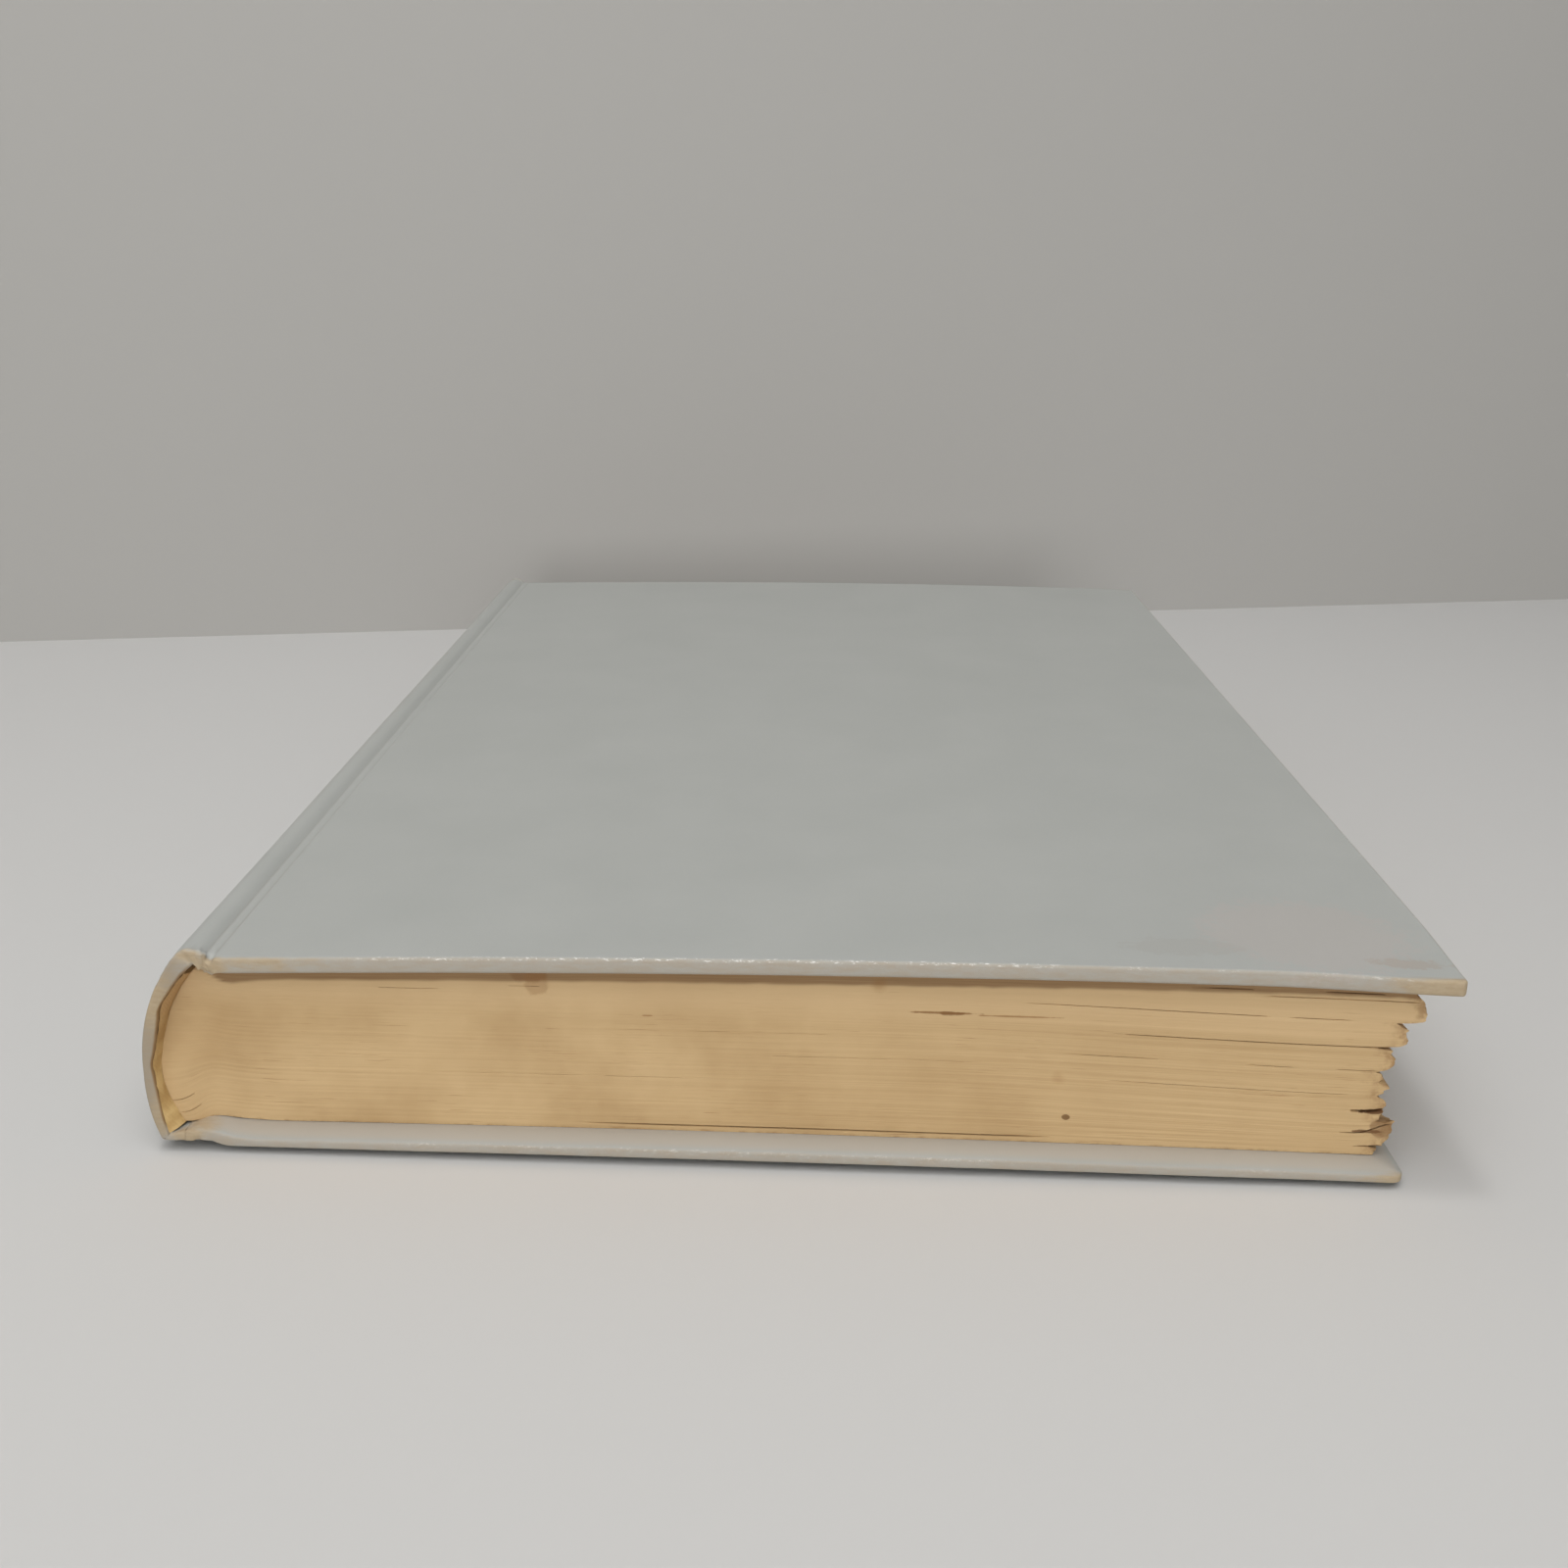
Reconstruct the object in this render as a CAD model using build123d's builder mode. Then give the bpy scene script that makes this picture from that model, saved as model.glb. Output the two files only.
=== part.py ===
from build123d import *
from math import asin, atan, cos, degrees, radians, sin, sqrt, tan
import os

# A hardcover book lying on its back cover.
# +X runs from the spine to the fore-edge, +Y from tail to head, +Z up.
# The origin is under the middle of the book. Lengths are in millimetres.

# Leaves
page_height = 228.0
block_thickness = 20.9
block_swell = 1.1
leaf_reach = 143.2
leaf_lean = 2.8
fore_edge_hollow = 2.25
signature_nose = 2.9
signature_nose_shares = (1.0, 0.73, 0.55, 0.73, 0.6, 0.78, 1.05)
nose_slope_share = 0.4
front_shoulder = 0.6
back_shoulder = 0.8

# Sheet and board thicknesses
covering = 0.3
board = 1.5
endpaper = 0.15
spine_card_thickness = 0.8
mull_thickness = 0.2
lining_thickness = 0.15

# Case
square = 3.5
front_overhang = 4.6
back_overhang = 3.3
back_offset = 1.7
turn_in = 15.0
pastedown_margin = 3.2
board_edge_radius = 0.3
board_corner_radius = 1.0
front_bow = 0.9
front_gap = 1.3
page_clearance = 0.1

# Spine and joints
spine_radius = 24.1
spine_reach = 10.2
spine_crown_share = 0.43
hollow_clearance = 0.15
ear_rise = 0.3
ear_width = 2.0
back_ear_height = 0.85
back_ear_roll = 0.4
front_joint = 1.35
front_sink = 0.3
back_joint = 2.3
joint_gap = 0.3
joint_slope_share = 0.45

# Head and tail bands
bead = 1.4
band_skirt = 6.0

# Cuts run past the faces that they open by this much.
overrun = 2.0

# Heights worked out from the stack of layers, from the table up
cover_thickness = 2 * covering + board
closed_cover = cover_thickness + endpaper
block_bottom = closed_cover + page_clearance + endpaper
block_top = block_bottom + block_thickness
front_level = block_top + endpaper + page_clearance + closed_cover
case_height = page_height + 2 * square
front_strip = front_joint - joint_gap
back_strip = back_joint - joint_gap
front_width = leaf_reach + leaf_lean + front_overhang
back_width = leaf_reach + back_overhang + back_offset
front_tilt = degrees(atan((block_swell + front_gap) / front_width))
front_reach = front_width * cos(radians(front_tilt)) + cover_thickness * sin(radians(front_tilt))
middle_x = (front_reach - spine_reach) / 2

# Spine arcs share one centre, given in the section's own X and Z.
spine_x = spine_radius - spine_reach
spine_z = front_level * spine_crown_share
card_outer = spine_radius - covering
card_inner = card_outer - spine_card_thickness
turn_inner = card_inner - covering
lining_outer = turn_inner - hollow_clearance
mull_outer = lining_outer - lining_thickness
block_radius = mull_outer - mull_thickness

# The section looks along +Y. Its X starts at the front board's joint edge.
section = Plane(origin=(-middle_x, 0, 0), x_dir=(1, 0, 0), z_dir=(0, -1, 0))
tilt = Vector(cos(radians(front_tilt)), 0, sin(radians(front_tilt)))
front_section = Plane(origin=(-middle_x, 0, front_level), x_dir=tilt, z_dir=(0, -1, 0))
back_section = Plane(origin=(-middle_x - back_offset, 0, 0), x_dir=(1, 0, 0), z_dir=(0, 1, 0))


def spine_point(radius, height):
    """Point of a spine arc at a height of the section."""
    return (spine_x - sqrt(radius**2 - (height - spine_z) ** 2), height)


def spine_angle(radius, height):
    """Angle above the level of the spine's centre, in degrees, of a point on a spine arc."""
    return degrees(asin((height - spine_z) / radius))


def spine_sector(inner, outer, low, high):
    """Outline between two spine arcs and two angles."""
    far = CenterArc((spine_x, spine_z), outer, 180 - high, high - low)
    near = CenterArc((spine_x, spine_z), inner, 180 - high, high - low)
    Line(far @ 0, near @ 0)
    Line(far @ 1, near @ 1)


def arch(reach, width, bow):
    """Rise of a warped board above its chord."""
    if bow == 0:
        return 0
    bend = (width**2 / 4 + bow**2) / (2 * bow)
    return bow - bend + sqrt(bend**2 - (reach - width / 2) ** 2)


def arched_line(start, end, level, width, bow):
    """Line of a cover's cross-section that follows the warp of the board."""
    first = (start, level + arch(start, width, bow))
    last = (end, level + arch(end, width, bow))
    if bow == 0:
        return Line(first, last)
    middle = (start + end) / 2
    return ThreePointArc(first, (middle, level + arch(middle, width, bow)), last)


def layer(start, end, bottom, top, width, bow):
    """Outline of one layer of a cover, seen in cross-section."""
    upper = arched_line(start, end, top, width, bow)
    lower = arched_line(start, end, bottom, width, bow)
    Line(upper @ 0, lower @ 0)
    Line(upper @ 1, lower @ 1)


def soften(part, plane, width, radius, corner):
    """Round the free edges and corners of a board or its covering."""

    def free(edge):
        return plane.to_local_coords(edge.center()).X > width / 4

    def upright(edge):
        return abs(edge.tangent_at(0.5).dot(plane.y_dir)) > 0.5

    fillet(part.edges().filter_by(free).filter_by(upright), corner)
    fillet(part.edges().filter_by(free).filter_by(upright, reverse=True), radius)


def cover_board(plane, width, bow):
    """Stiff board of one cover."""
    with BuildPart() as piece:
        with BuildSketch(plane):
            with BuildLine():
                layer(covering, width - covering, -covering - board, -covering, width, bow)
            make_face()
        extrude(amount=case_height / 2 - covering, both=True)
        soften(piece, plane, width, board_edge_radius, board_corner_radius)
    return piece


def cover_covering(plane, width, bow, strip, sink, core):
    """Covering paper of one cover, turned in at three edges, with its joint strip."""
    slope = strip * joint_slope_share
    lip = arch(covering, width, bow)
    with BuildPart() as piece:
        with BuildSketch(plane):
            with BuildLine():
                layer(covering, width, -cover_thickness, 0, width, bow)
            make_face()
        extrude(amount=case_height / 2, both=True)
        soften(piece, plane, width, board_edge_radius + covering, board_corner_radius + covering)
        with BuildSketch(plane):
            with BuildLine():
                Polyline(
                    (-strip, -sink),
                    (-slope, -sink),
                    (0, 0),
                    (covering, lip),
                    (covering, lip - covering),
                    (-slope, -sink - covering),
                    (-strip, -sink - covering),
                    close=True,
                )
            make_face()
        extrude(amount=case_height / 2, both=True)
        add(core.part, mode=Mode.SUBTRACT)
        with BuildSketch(plane):
            with BuildLine():
                layer(covering, width - turn_in, -cover_thickness - overrun, -covering - board / 2, width, bow)
            make_face()
        extrude(amount=case_height / 2 - turn_in, both=True, mode=Mode.SUBTRACT)
    return piece


def cover_pastedown(plane, width, bow, strip, sink):
    """Endpaper glued over the turn-ins, sunk onto the board between them and down into the joint."""
    slope = strip * joint_slope_share
    lip = arch(covering, width, bow)
    page = case_height / 2 - pastedown_margin
    well = case_height / 2 - turn_in
    under = -cover_thickness
    with BuildPart() as piece:
        with BuildSketch(plane):
            with BuildLine():
                layer(covering, width - pastedown_margin, under - endpaper, under, width, bow)
            make_face()
        extrude(amount=page, both=True)
        with BuildSketch(plane):
            with BuildLine():
                layer(covering, width - turn_in, under - endpaper, under + covering, width, bow)
            make_face()
        extrude(amount=well, both=True)
        with BuildSketch(plane):
            with BuildLine():
                sunk_start = covering + endpaper
                sunk_end = width - turn_in - endpaper
                layer(sunk_start, sunk_end, under - overrun, under + covering - endpaper, width, bow)
            make_face()
        extrude(amount=well - endpaper, both=True, mode=Mode.SUBTRACT)
        with BuildSketch(plane):
            with BuildLine():
                Polyline(
                    (-strip, -sink - covering),
                    (-slope, -sink - covering),
                    (covering, lip - covering),
                    (covering, lip + under - endpaper),
                    (covering - endpaper, lip + under - endpaper),
                    (covering - endpaper, lip - covering - endpaper),
                    (-slope, -sink - covering - endpaper),
                    (-strip, -sink - covering - endpaper),
                    close=True,
                )
            make_face()
        extrude(amount=page, both=True)
    return piece


def fore_edge_point(share):
    """Point of the hollow fore-edge at a share of the block's thickness, from the back up."""
    straight = leaf_reach + leaf_lean * share
    dip = fore_edge_hollow * 4 * share * (1 - share)
    return Vector(straight - dip, block_bottom + (block_thickness + block_swell) * share)


# Text block: rounded, backed spine with shoulders, and a fore-edge of uneven gatherings
front_corner = fore_edge_point(1)
back_corner = fore_edge_point(0)
spine_top = spine_point(block_radius, block_top + front_shoulder)
spine_bottom = spine_point(block_radius, block_bottom - back_shoulder)
front_fold = (-front_strip, block_top)
back_fold = (-back_offset - back_strip, block_bottom)
front_tip = spine_angle(block_radius, spine_top[1])
back_tip = spine_angle(block_radius, spine_bottom[1])
signatures = len(signature_nose_shares)

with BuildPart() as text_block:
    with BuildSketch(section):
        with BuildLine():
            for number, nose_share in enumerate(signature_nose_shares):
                low = fore_edge_point(number / signatures)
                high = fore_edge_point((number + 1) / signatures)
                nose = Vector(signature_nose * nose_share, 0)
                slope = Vector(0, (high.Y - low.Y) * nose_slope_share)
                Bezier(low, low + nose, high + nose - slope, high)
            Line(front_corner, front_fold)
            Line(front_fold, spine_top)
            ThreePointArc(spine_top, spine_point(block_radius, spine_z), spine_bottom)
            Line(spine_bottom, back_fold)
            Line(back_fold, back_corner)
        make_face()
    extrude(amount=page_height / 2, both=True)

with BuildPart() as front_flyleaf:
    with BuildSketch(section):
        with BuildLine():
            lower = Line(front_fold, front_corner)
            upper = Line(lower @ 0 + (0, endpaper), lower @ 1 + (0, endpaper))
            Line(lower @ 0, upper @ 0)
            Line(lower @ 1, upper @ 1)
        make_face()
    extrude(amount=page_height / 2, both=True)

with BuildPart() as back_flyleaf:
    with BuildSketch(section):
        with BuildLine():
            upper = Line(back_fold, back_corner)
            lower = Line(upper @ 0 - (0, endpaper), upper @ 1 - (0, endpaper))
            Line(lower @ 0, upper @ 0)
            Line(lower @ 1, upper @ 1)
        make_face()
    extrude(amount=page_height / 2, both=True)

# Linings of the block's spine, between its two shoulders
with BuildPart() as mull:
    with BuildSketch(section):
        with BuildLine():
            spine_sector(block_radius, mull_outer, back_tip, front_tip)
        make_face()
    extrude(amount=page_height / 2 - band_skirt, both=True)

with BuildPart() as spine_lining:
    with BuildSketch(section):
        with BuildLine():
            spine_sector(mull_outer, lining_outer, back_tip, front_tip)
        make_face()
    extrude(amount=page_height / 2, both=True)

# Bands: a bead on the leaves' ends with a skirt glued to the spine
spine_axis = Axis((spine_x - middle_x, 0, spine_z), (0, 1, 0))


def band(end):
    """Band at the tail (-1) or the head (+1) of the block."""
    start = Plane(origin=(spine_x - middle_x, 0, spine_z), x_dir=(-1, 0, 0), z_dir=(0, 0, 1))
    turned = start.rotated((0, back_tip, 0))
    with BuildPart() as piece:
        with BuildSketch(turned):
            edge = -end * page_height / 2
            with Locations((mull_outer - bead / 2, edge - end * bead / 2)):
                Circle(bead / 2)
            with Locations((mull_outer - mull_thickness / 2, edge + end * (band_skirt - bead / 2) / 2)):
                Rectangle(mull_thickness, band_skirt + bead / 2)
        revolve(axis=spine_axis, revolution_arc=front_tip - back_tip)
    return piece


tail_band = band(-1)
head_band = band(1)

# Case spine: card inlay and the covering that wraps it and runs on into both joints
ear_angle = spine_angle(spine_radius, front_level + ear_rise)
back_angle = spine_angle(spine_radius, back_ear_height + back_ear_roll)
paper_middle = spine_radius - covering / 2


def paper_point(angle):
    """Point in the thickness of the spine's covering."""
    turn = radians(angle)
    return Vector(spine_x - paper_middle * cos(turn), spine_z + paper_middle * sin(turn))


back_level = back_ear_height + covering / 2
back_start = paper_point(back_angle)
back_roll = (back_start.Y - back_level) / tan(radians(90 + back_angle) / 2)
back_split = -back_offset - back_joint
front_split = (-front_joint, front_level - front_sink - covering / 2)

with BuildPart() as spine_card:
    with BuildSketch(section):
        with BuildLine():
            spine_sector(card_inner, card_outer, back_angle, ear_angle)
        make_face()
    extrude(amount=case_height / 2 - covering, both=True)

with BuildPart() as spine_covering:
    with BuildSketch(section):
        with BuildLine():
            strip = Line((back_split, back_level), (back_start.X + back_roll, back_level))
            TangentArc(strip @ 1, back_start, tangent=strip % 1)
            crown = ThreePointArc(back_start, paper_point(0), paper_point(ear_angle))
            ear = TangentArc(crown @ 1, crown @ 1 + (ear_width, 0), tangent=crown % 1)
            TangentArc(ear @ 1, front_split, tangent=ear % 1)
        trace(line_width=covering)
    extrude(amount=case_height / 2, both=True)
    for end in (-1, 1):
        with BuildSketch(section.offset(end * case_height / 2)):
            with BuildLine():
                spine_sector(turn_inner, card_outer, back_angle, ear_angle)
            make_face()
        extrude(amount=-end * covering)
        with BuildSketch(section.offset(end * case_height / 2)):
            with BuildLine():
                spine_sector(turn_inner, card_inner, back_angle, ear_angle)
            make_face()
        extrude(amount=-end * turn_in)

# Front cover, warped and standing open a little at the fore-edge
front_board = cover_board(front_section, front_width, front_bow)
front_covering = cover_covering(
    front_section, front_width, front_bow, front_strip, front_sink, front_board
)
front_pastedown = cover_pastedown(front_section, front_width, front_bow, front_strip, front_sink)

# Back cover, flat on the table
back_board = cover_board(back_section, back_width, 0)
back_covering = cover_covering(back_section, back_width, 0, back_strip, back_ear_height, back_board)
back_pastedown = cover_pastedown(back_section, back_width, 0, back_strip, back_ear_height)

pieces = {
    "text_block": text_block,
    "front_flyleaf": front_flyleaf,
    "back_flyleaf": back_flyleaf,
    "mull": mull,
    "spine_lining": spine_lining,
    "tail_band": tail_band,
    "head_band": head_band,
    "spine_card": spine_card,
    "spine_covering": spine_covering,
    "front_board": front_board,
    "front_covering": front_covering,
    "front_pastedown": front_pastedown,
    "back_board": back_board,
    "back_covering": back_covering,
    "back_pastedown": back_pastedown,
}

os.makedirs("parts", exist_ok=True)
for name, piece in pieces.items():
    piece.part.label = name
    export_step(piece.part, f"parts/{name}.step")
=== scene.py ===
import math

import bpy
import numpy as np
from mathutils import Matrix, Vector


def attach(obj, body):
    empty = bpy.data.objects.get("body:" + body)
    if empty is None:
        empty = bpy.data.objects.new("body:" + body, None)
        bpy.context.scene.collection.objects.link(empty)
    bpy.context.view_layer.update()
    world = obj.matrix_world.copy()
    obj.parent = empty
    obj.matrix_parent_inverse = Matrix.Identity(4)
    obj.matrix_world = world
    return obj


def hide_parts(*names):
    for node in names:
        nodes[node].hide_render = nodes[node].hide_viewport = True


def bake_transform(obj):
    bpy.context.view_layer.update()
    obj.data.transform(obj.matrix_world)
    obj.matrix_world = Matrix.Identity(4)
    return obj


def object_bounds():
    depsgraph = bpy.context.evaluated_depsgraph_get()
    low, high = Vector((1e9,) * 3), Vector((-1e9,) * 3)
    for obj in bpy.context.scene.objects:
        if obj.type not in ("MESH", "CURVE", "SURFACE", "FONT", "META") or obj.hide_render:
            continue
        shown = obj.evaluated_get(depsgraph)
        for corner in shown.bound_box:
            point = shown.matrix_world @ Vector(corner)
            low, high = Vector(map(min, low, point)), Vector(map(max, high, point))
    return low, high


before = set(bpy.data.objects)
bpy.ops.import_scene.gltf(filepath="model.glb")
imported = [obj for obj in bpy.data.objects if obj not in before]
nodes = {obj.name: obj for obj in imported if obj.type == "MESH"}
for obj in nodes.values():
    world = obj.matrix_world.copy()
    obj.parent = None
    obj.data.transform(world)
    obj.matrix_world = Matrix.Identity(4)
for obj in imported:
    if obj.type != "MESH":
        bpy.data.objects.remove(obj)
cad_low, cad_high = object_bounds()

# The book is modelled in millimetres of its cross-section and put in metres when a piece is done.
# Section X starts at the front board's joint edge, Y runs from tail to head, Z is up from the table.
millimetre = 0.001
middle_x = 70.207
case_tail = 117.5
leaf_tail = 114.0

# Spine of the case, as an arc about one centre
spine_centre = np.array((13.9, 11.137))
spine_outer = ((-24.2, 24.7), (-18.0, 24.6), (-10.0, 24.35), (-2.0, 24.1), (38.7, 24.1))
spine_inner = 22.7
spine_low_angle = -24.2
spine_high_angle = 38.7
spine_wall_angle = 28.0
spine_stations = 46

# Wall of the spine at its two ends, as angle and inner radius, with two kinks in the card
spine_mouth = (
    (-26.0, 23.6), (-22.2, 23.5), (-17.7, 23.15), (-12.9, 22.86), (-8.7, 22.77), (-4.5, 22.8),
    (-0.1, 22.95), (1.2, 22.9), (4.3, 22.58), (9.7, 22.37), (15.8, 22.46), (18.8, 22.72),
    (21.3, 22.66), (26.2, 22.34), (30.4, 22.15), (35.9, 21.85), (39.8, 21.61),
)
mouth_depth = 2.2
mouth_full = 0.3
head_mouth_share = 0.3

# Front joint: rolled ear, groove and the start of the board
front_ear = (
    (-4.91, 26.2), (-4.5, 26.5), (-4.05, 26.69), (-3.5, 26.77), (-3.0, 26.73), (-2.5, 26.59),
    (-2.1, 26.38), (-1.75, 26.12), (-1.55, 25.97), (-1.4, 25.94), (-1.1, 25.93), (-0.8, 25.92),
    (-0.55, 25.86), (-0.4, 25.83), (-0.2, 25.86), (0.05, 25.92), (0.4, 25.93),
)
front_ear_mouth = (
    (-4.91, 26.2), (-4.5, 26.52), (-4.05, 26.74), (-3.5, 26.84), (-3.0, 26.8), (-2.5, 26.68),
    (-2.1, 26.46), (-1.7, 26.1), (-1.35, 25.76), (-1.1, 25.55), (-0.85, 25.44), (-0.55, 25.5),
    (-0.25, 25.68), (0.05, 25.84), (0.4, 25.93),
)
front_throat = (
    (-3.02, 24.72), (-2.72, 24.95), (-2.4, 24.62), (-1.85, 24.19), (-1.4, 23.95), (-0.97, 23.8),
    (-0.4, 23.8), (0.0, 23.81), (0.4, 23.83),
)
front_joint_stations = 46
knot_sizes = ((0, 0.9), (2, 0.7), (1, 0.8))
knot_finer = 0.45
knot_fineness = 0.5
joint_creases = (-1.5, -0.38)
crease_width = 0.13

# Front board, tilted and bowed as in the solids
front_level = 25.9
front_tilt = math.radians(0.913)
front_width = 150.6
front_bow = 0.9
cover_thickness = 2.1

# Lower edge of the spine, rolled under to meet the back cover's strip
back_roll = (
    (-8.63, 1.01), (-8.5, 0.93), (-8.25, 0.87), (-7.8, 0.85), (-7.1, 0.85), (-6.4, 0.85), (-5.6, 0.85),
)
back_roll_throat = (
    (-7.6, 1.95), (-7.45, 1.82), (-7.2, 1.8), (-6.9, 1.86), (-6.5, 1.98), (-6.1, 2.1), (-5.6, 2.24),
)
back_roll_stations = 16

# Back joint and back board
back_strip = (
    (-5.58, 0.85), (-4.6, 0.85), (-3.6, 0.82), (-2.8, 0.74), (-2.2, 0.58), (-1.6, 0.33), (-0.9, 0.1),
    (-0.2, 0.01), (0.6, 0.0),
)
back_strip_throat = (
    (-5.58, 2.24), (-4.7, 2.64), (-3.85, 3.0), (-3.1, 3.2), (-2.3, 3.18), (-1.3, 2.94), (-0.5, 2.72),
    (0.1, 2.56), (0.6, 2.44),
)
back_joint_stations = 34
back_reach = 146.5
back_inner = ((0.6, 2.44), (2.0, 2.26), (3.5, 2.15), (5.5, 2.1), (back_reach, 2.1))
back_bow = 0.2
back_inner_bow = 0.52

# Rounding of the case's rims and corners: the back cover slopes softly to its edges
front_rim_round = 0.42
back_rim_round = 0.3
rim_segments = 4
# Share of the painted glints kept on the back cover's rim
back_glint = 0.3
front_corner_round = 0.8
back_corner_round = 1.8
back_soft_drop = 0.9
back_soft_width = 3.4
back_soft_power = 1.6
back_rim_lift = 0.3
strip_soft = (-5.58, -2.6)
back_lift_width = 3.0
case_rows = 64
case_row_steps = (0.0, 0.5, 0.85, 1.2, 1.6, 2.1, 2.7, 3.5, 5.0, 7.5, 10.5)
corner_droop = 0.5
corner_droop_width = 24.0
corner_droop_depth = 18.0
face_wave, face_wave_size = 0.05, 38.0
face_ripple, face_ripple_size = 0.012, 9.0
rim_wave, rim_wave_size = 0.05, 6.0

# Leaves
leaf_spine = (
    (-26.0, 21.85), (-22.7, 21.9), (-17.6, 22.15), (-13.0, 22.38), (-8.0, 22.55), (0.0, 22.55), (4.0, 22.5),
    (8.0, 22.36), (15.5, 22.2), (22.0, 21.94), (30.0, 21.62), (36.0, 21.3),
)
leaf_sag = 1.4
leaf_sag_width = 9.0
leaf_sag_angles = (12.0, -6.0)
leaf_low_angle = -23.0
leaf_high_angle = 35.2
leaf_fan = 0.45
leaf_fan_share = 0.25
leaf_turn = (4.2, 7.0)
leaf_top = (
    (-4.3, 24.0), (-3.2, 23.86), (-2.2, 23.66), (-1.05, 23.4), (0.5, 23.38), (3.0, 23.42), (146.0, 24.5),
)
leaf_bottom = (
    (-6.3, 2.3), (-5.13, 2.82), (-4.3, 3.22), (-3.4, 3.5), (-2.6, 3.54), (-1.6, 3.4), (-0.5, 3.12),
    (0.25, 2.93), (1.5, 2.74), (2.6, 2.64), (5.0, 2.54), (14.0, 2.64), (30.0, 2.78), (50.0, 2.9),
    (75.0, 2.96), (100.0, 2.9), (122.0, 2.74), (136.0, 2.6), (146.0, 2.54),
)
top_swell = (
    (0.5, 0.0), (20.0, 0.42), (40.0, 0.7), (75.0, 0.95), (110.0, 0.85), (135.0, 0.55), (146.0, 0.3),
)
top_swell_share = 0.85

# Painted shadow of the front cover's overhang on the leaves' ends: section X and how far down it reaches
shadow_reach = (
    (-6.0, 1.0), (-2.4, 1.3), (-1.2, 1.9), (-0.2, 2.3), (2.0, 2.2), (5.0, 1.85), (30.0, 1.8), (75.0, 1.6),
    (120.0, 1.1), (147.0, 0.95),
)
shadow_edge = 0.28
shadow_depth = 1.2
leaf_droop = 0.065
leaf_droop_start = 85.0
leaf_droop_run = 60.0

# Fore-edge at the tail: share of the thickness and reach, one hump a gathering
fore_edge = (
    (0.0, 143.2), (0.02, 143.9), (0.033, 143.6), (0.038, 143.0), (0.046, 144.3), (0.0714, 145.0),
    (0.1278, 145.3), (0.175, 144.95), (0.191, 144.5), (0.2, 143.1), (0.21, 143.3), (0.2697, 144.2),
    (0.3166, 143.9), (0.345, 143.2), (0.357, 142.3), (0.3717, 143.5), (0.4271, 144.05), (0.4728, 143.4),
    (0.5, 142.9), (0.5107, 142.0), (0.52, 142.9), (0.5445, 144.0), (0.5994, 144.32), (0.6455, 143.8),
    (0.655, 142.6), (0.662, 142.2), (0.672, 144.7), (0.69, 145.6), (0.71, 145.84), (0.7738, 145.3),
    (0.8, 144.6), (0.818, 143.9), (0.824, 145.9), (0.836, 147.1), (0.8777, 147.5), (0.9407, 146.7),
    (0.9924, 145.8), (1.0, 145.5),
)
fore_plain = (
    (0.0, 143.6), (0.08, 144.5), (0.2, 143.9), (0.4, 143.5), (0.55, 143.6), (0.7, 144.6), (0.85, 146.2),
    (1.0, 146.0),
)
fore_keep = 0.35
fore_tail_depth = 40.0
fore_wander = 0.3
fore_fray = 0.3
fore_nick = 0.2
fore_tear = 0.7
foot_lip = 0.3

# Gaps between leaves on the tail: leaf share, start and end in X, depth, and how open it is
leaf_gaps = (
    (0.885, 96.0, 146.0, 0.9, 0.8), (0.729, 110.0, 145.0, 1.5, 1.2), (0.583, 100.0, 144.0, 0.8, 0.7),
    (0.428, 104.0, 143.0, 0.6, 0.6), (0.978, 118.0, 147.0, 0.9, 0.9), (0.955, 126.0, 147.5, 0.5, 0.6),
    (0.328, 139.6, 145.2, 1.9, 3.4), (0.157, 139.0, 146.2, 1.9, 3.0), (0.045, 141.0, 145.5, 1.7, 2.6),
    (0.905, 21.0, 38.0, 0.6, 0.6), (0.882, 18.0, 29.0, 0.5, 0.6), (0.022, 42.0, 103.0, 1.4, 1.5),
    (0.188, -8.6, -5.2, 0.5, 1.3), (0.165, -8.4, -5.4, 0.4, 1.0), (0.095, -7.4, -4.4, 0.5, 1.2),
    (0.65, 40.0, 75.0, 0.2, 0.5), (0.34, 20.0, 60.0, 0.2, 0.5), (0.5, 62.0, 96.0, 0.2, 0.5),
)
gap_share = 0.0028
leaf_rows = 180
leaf_depth_rows = 50
leaf_depth_steps = (0.0, 0.3, 0.8, 1.6, 2.6, 4.0)
leaf_reach_steps = (0, 0.2, 0.5, 0.9, 1.4, 2.0, 2.7, 3.5, 4.5, 5.7, 7.0, 8.6, 10.5, 12.5)
least_row = 0.001
leaf_ripple = 0.02

# Leaves curled up at the tail of the fore-edge: leaf share, spread in share, start and end in X, and rise
leaf_curls = (
    (0.165, 0.05, 140.5, 146.0, 1.7), (0.335, 0.02, 141.5, 144.5, 0.45), (0.9, 0.05, 141.0, 148.0, -0.25),
)
curl_depth = 5.0

# Bands between the leaves and the spine: section as a share from leaves to wall, and reach along Y
band_stations = 90
band_low_angle = -23.5
band_high_angle = 34.0
band_section = (
    (0.0, 113.6), (-0.1, 114.8), (0.1, 115.7), (0.45, 116.2), (0.8, 116.55), (1.0, 116.75),
    (1.0, 115.4), (0.9, 113.6),
)
band_least = 0.12
band_foot_reach = 0.42
band_fuzz = 0.07

# Endpapers
paper_thickness = 0.12
paste_short = 0.5
fly_short = 0.6
pastedown_margin = 3.2
turn_in = 15.0
turn_in_step = 0.06
turn_in_soft = 0.4
paper_gap = 0.01

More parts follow.
